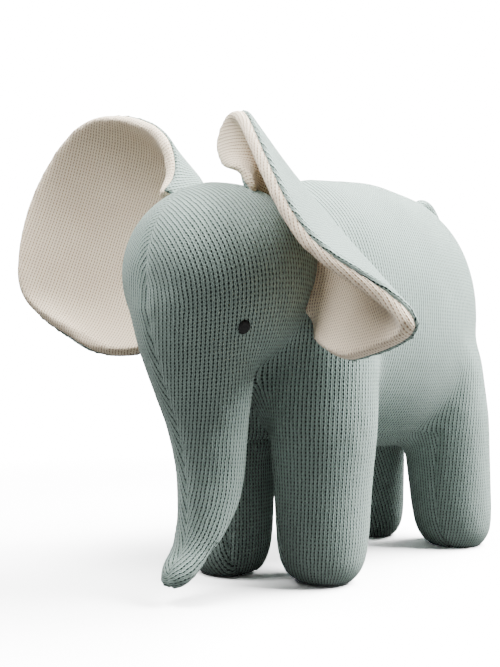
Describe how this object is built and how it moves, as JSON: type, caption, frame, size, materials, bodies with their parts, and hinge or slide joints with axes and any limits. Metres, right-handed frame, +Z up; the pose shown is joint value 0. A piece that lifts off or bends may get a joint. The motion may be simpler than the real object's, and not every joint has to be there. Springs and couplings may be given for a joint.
{
  "type": "stuffed elephant",
  "caption": "Knitted stuffed elephant standing on padded legs, with a hanging trunk, wide two-colour ears that flap at their roots and a short knitted tail.",
  "frame": {"origin": "on the floor under the centre of the toy's outline as seen from above", "axes": "+Z up, the elephant faces -Y, its left side is +X"},
  "size_m": [0.2958, 0.3104, 0.2894],
  "materials": {
    "sage_knit": "matte",
    "cream_knit": "matte",
    "filling": "matte",
    "black_thread": "satin"
  },
  "bodies": {
    "body": {"left_side_panel": "sage_knit", "right_side_panel": "sage_knit", "left_belly_gusset": "sage_knit", "right_belly_gusset": "sage_knit", "head_stuffing": "filling", "trunk_stuffing": "filling", "torso_stuffing": "filling", "front_left_leg_stuffing": "filling", "front_right_leg_stuffing": "filling", "hind_left_leg_stuffing": "filling", "hind_right_leg_stuffing": "filling", "left_eye": "black_thread", "right_eye": "black_thread"},
    "left_ear": {"left_ear_back": "sage_knit", "left_ear_lining": "cream_knit", "left_ear_wadding": "filling"},
    "right_ear": {"right_ear_back": "sage_knit", "right_ear_lining": "cream_knit", "right_ear_wadding": "filling"},
    "tail": {"tail": "sage_knit"}
  },
  "joints": [
    {"name": "left_ear_flap", "type": "hinge", "parent": "body", "child": "left_ear", "pos_m": [0.03538, -0.08162, 0.226], "axis": [-0.2925, 0, 0.9563], "range_deg": [-15, 13], "stiffness_Nm_per_rad": 0.04},
    {"name": "right_ear_flap", "type": "hinge", "parent": "body", "child": "right_ear", "pos_m": [-0.02062, -0.08162, 0.226], "axis": [-0.2925, 0, -0.9563], "range_deg": [-18, 22], "stiffness_Nm_per_rad": 0.04},
    {"name": "tail_swing", "type": "hinge", "parent": "body", "child": "tail", "pos_m": [0.00738, 0.11238, 0.2435], "axis": [0, 1, 0], "range_deg": [-35, 35], "stiffness_Nm_per_rad": 0.01}
  ]
}
